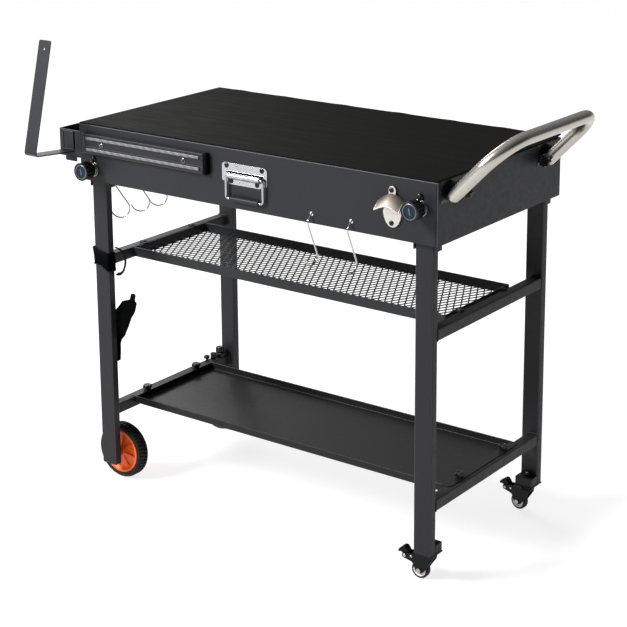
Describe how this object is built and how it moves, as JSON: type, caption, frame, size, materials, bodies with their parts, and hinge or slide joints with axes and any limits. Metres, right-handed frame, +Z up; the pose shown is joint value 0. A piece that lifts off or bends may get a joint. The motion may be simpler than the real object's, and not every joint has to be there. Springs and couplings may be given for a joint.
{
  "type": "outdoor prep cart",
  "caption": "Folding outdoor prep cart: sheet-metal table on tube legs with a mesh shelf, lower tray, big wheels, braked casters, push handle, magnetic tool bar, hooks, opener and side caddy.",
  "frame": {"origin": "middle of the whole cart's footprint, on the floor", "axes": "+X right along the long front edge towards the push handle, +Y from the front to the back, +Z up"},
  "size_m": [1.164, 0.646, 1.0506],
  "materials": {
    "frame_paint": "satin blue-grey powder coat",
    "leg_paint": "satin dark grey powder coat",
    "shelf_paint": "satin dark grey powder coat",
    "tray_paint": "fine-textured dark grey powder coat",
    "mat": "matt, fine streaked texture",
    "bolt_steel": "bright zinc-plated",
    "black_plastic": "matt moulded",
    "black_metal": "semi-gloss black",
    "strip_steel": "satin with a diagonal pattern",
    "chrome": "polished",
    "grip_rubber": "matt",
    "nickel": "brushed, warm grey",
    "handle_steel": "fine brushed",
    "webbing": "woven strap",
    "tyre_rubber": "matt, blocked tread",
    "hub_orange": "smooth moulded",
    "rim_white": "smooth moulded"
  },
  "bodies": {
    "table": {"table_shell": "frame_paint", "top_mat": "mat", "leg_brackets": "frame_paint", "pivot_bolts": "bolt_steel", "leg_left_front": "leg_paint", "leg_left_back": "leg_paint", "leg_right_front": "leg_paint", "leg_right_back": "leg_paint", "left_bars": "leg_paint", "right_bars": "leg_paint", "axle_stubs": "bolt_steel", "caster_blocks": "leg_paint", "caster_mounts": "black_metal", "caddy_box": "frame_paint", "towel_arm": "frame_paint", "magnet_body": "black_plastic", "magnet_strips": "strip_steel", "panel_screws": "bolt_steel", "carry_plate": "chrome", "bottle_opener": "nickel", "push_brackets": "black_metal", "leg_strap": "webbing", "strap_ring": "webbing", "strap_tail": "webbing", "bar_clip": "black_plastic"},
    "push_handle": {"push_tube": "handle_steel"},
    "push_handle_knob_front": {"push_knob_front": "black_plastic"},
    "push_handle_knob_back": {"push_knob_back": "black_plastic"},
    "carry_handle": {"carry_bail": "chrome", "carry_grip": "grip_rubber"},
    "lock_knob_a": {"lock_knob_left_front": "black_plastic"},
    "lock_knob_b": {"lock_knob_left_back": "black_plastic"},
    "lock_knob_c": {"lock_knob_right_front": "black_plastic"},
    "lock_knob_d": {"lock_knob_right_back": "black_plastic"},
    "shelf": {"shelf_rails": "shelf_paint", "shelf_mesh": "shelf_paint", "shelf_tabs": "shelf_paint"},
    "tray": {"tray_pan": "tray_paint"},
    "tray_screw_a": {"tray_knob_a": "black_plastic"},
    "tray_screw_b": {"tray_knob_b": "black_plastic"},
    "tray_screw_c": {"tray_knob_c": "black_plastic"},
    "tray_screw_d": {"tray_knob_d": "black_plastic"},
    "wheel_front": {"tyre_front": "tyre_rubber", "hub_front": "hub_orange"},
    "wheel_back": {"tyre_back": "tyre_rubber", "hub_back": "hub_orange"},
    "caster_front": {"fork_front": "black_metal"},
    "brake_front": {"pedal_front": "black_plastic"},
    "caster_wheel_front": {"caster_tyre_front": "tyre_rubber", "caster_rim_front": "rim_white"},
    "caster_back": {"fork_back": "black_metal"},
    "brake_back": {"pedal_back": "black_plastic"},
    "caster_wheel_back": {"caster_tyre_back": "tyre_rubber", "caster_rim_back": "rim_white"},
    "hook_a": {"hook_front_a": "chrome"},
    "hook_b": {"hook_front_b": "chrome"},
    "hook_c": {"hook_side_a": "chrome"},
    "hook_d": {"hook_side_b": "chrome"},
    "hook_e": {"hook_side_c": "chrome"}
  },
  "joints": [
    {"name": "push_handle_fold", "type": "hinge", "parent": "table", "child": "push_handle", "pos_m": [0.45548, 0.01, 0.831], "axis": [0, 1, 0], "range_deg": [-40, 130]},
    {"name": "push_knob_front_turn", "type": "hinge", "parent": "push_handle", "child": "push_handle_knob_front", "pos_m": [0.45548, -0.136, 0.831], "axis": [0, 1, 0], "continuous": true},
    {"name": "push_knob_back_turn", "type": "hinge", "parent": "push_handle", "child": "push_handle_knob_back", "pos_m": [0.45548, 0.179, 0.831], "axis": [0, -1, 0], "continuous": true},
    {"name": "carry_handle_swing", "type": "hinge", "parent": "table", "child": "carry_handle", "pos_m": [-0.03652, -0.2128, 0.803], "axis": [-1, 0, 0], "range_deg": [0, 90]},
    {"name": "lock_knob_a_turn", "type": "hinge", "parent": "table", "child": "lock_knob_a", "pos_m": [-0.47702, -0.226, 0.759], "axis": [0, -1, 0], "continuous": true},
    {"name": "lock_knob_b_turn", "type": "hinge", "parent": "table", "child": "lock_knob_b", "pos_m": [-0.47702, 0.304, 0.759], "axis": [0, 1, 0], "continuous": true},
    {"name": "lock_knob_c_turn", "type": "hinge", "parent": "table", "child": "lock_knob_c", "pos_m": [0.39498, -0.226, 0.804], "axis": [0, -1, 0], "continuous": true},
    {"name": "lock_knob_d_turn", "type": "hinge", "parent": "table", "child": "lock_knob_d", "pos_m": [0.39498, 0.304, 0.804], "axis": [0, 1, 0], "continuous": true},
    {"name": "shelf_lift", "type": "slide", "parent": "table", "child": "shelf", "axis": [0, 0, 1], "range_m": [0, 0.055]},
    {"name": "tray_lift", "type": "slide", "parent": "table", "child": "tray", "axis": [0, 0, 1], "range_m": [0, 0.1]},
    {"name": "tray_screw_a_turn", "type": "hinge", "parent": "tray", "child": "tray_screw_a", "pos_m": [-0.47602, -0.05, 0.19], "axis": [0, 0, 1], "continuous": true},
    {"name": "tray_screw_b_turn", "type": "hinge", "parent": "tray", "child": "tray_screw_b", "pos_m": [-0.47602, 0.128, 0.19], "axis": [0, 0, 1], "continuous": true},
    {"name": "tray_screw_c_turn", "type": "hinge", "parent": "tray", "child": "tray_screw_c", "pos_m": [0.39798, -0.05, 0.19], "axis": [0, 0, 1], "continuous": true},
    {"name": "tray_screw_d_turn", "type": "hinge", "parent": "tray", "child": "tray_screw_d", "pos_m": [0.39798, 0.128, 0.19], "axis": [0, 0, 1], "continuous": true},
    {"name": "wheel_front_spin", "type": "hinge", "parent": "table", "child": "wheel_front", "pos_m": [-0.47402, -0.1395, 0.0657], "axis": [0, 1, 0], "continuous": true},
    {"name": "wheel_back_spin", "type": "hinge", "parent": "table", "child": "wheel_back", "pos_m": [-0.47402, 0.2175, 0.0657], "axis": [0, 1, 0], "continuous": true},
    {"name": "caster_front_swivel", "type": "hinge", "parent": "table", "child": "caster_front", "pos_m": [0.39598, -0.1625, 0.057], "axis": [0, 0, 1], "continuous": true},
    {"name": "caster_front_roll", "type": "hinge", "parent": "caster_front", "child": "caster_wheel_front", "pos_m": [0.3774, -0.16347, 0.0193], "axis": [-0.0523, 0.9986, 0], "continuous": true},
    {"name": "brake_front_press", "type": "hinge", "parent": "caster_front", "child": "brake_front", "pos_m": [0.34305, -0.16527, 0.0445], "axis": [0.0523, -0.9986, 0], "range_deg": [0, 20]},
    {"name": "caster_back_swivel", "type": "hinge", "parent": "table", "child": "caster_back", "pos_m": [0.39598, 0.2405, 0.057], "axis": [0, 0, 1], "continuous": true},
    {"name": "caster_back_roll", "type": "hinge", "parent": "caster_back", "child": "caster_wheel_back", "pos_m": [0.37751, 0.24277, 0.0193], "axis": [0.1219, 0.9925, 0], "continuous": true},
    {"name": "brake_back_press", "type": "hinge", "parent": "caster_back", "child": "brake_back", "pos_m": [0.34337, 0.24696, 0.0445], "axis": [-0.1219, -0.9925, 0], "range_deg": [0, 20]},
    {"name": "hook_a_swing", "type": "hinge", "parent": "table", "child": "hook_a", "pos_m": [0.13198, -0.206, 0.748], "axis": [-1, 0, 0], "range_deg": [-6, 10]},
    {"name": "hook_b_swing", "type": "hinge", "parent": "table", "child": "hook_b", "pos_m": [0.23098, -0.206, 0.748], "axis": [-1, 0, 0], "range_deg": [-6, 10]},
    {"name": "hook_c_swing", "type": "hinge", "parent": "table", "child": "hook_c", "pos_m": [-0.51362, -0.108, 0.7456], "axis": [-0.5807, 0.8141, 0], "range_deg": [-5, 7]},
    {"name": "hook_d_swing", "type": "hinge", "parent": "table", "child": "hook_d", "pos_m": [-0.51362, -0.0405, 0.7456], "axis": [-0.5807, 0.8141, 0], "range_deg": [-5, 7]},
    {"name": "hook_e_swing", "type": "hinge", "parent": "table", "child": "hook_e", "pos_m": [-0.51362, 0.0215, 0.7456], "axis": [-0.5807, 0.8141, 0], "range_deg": [-5, 7]}
  ]
}
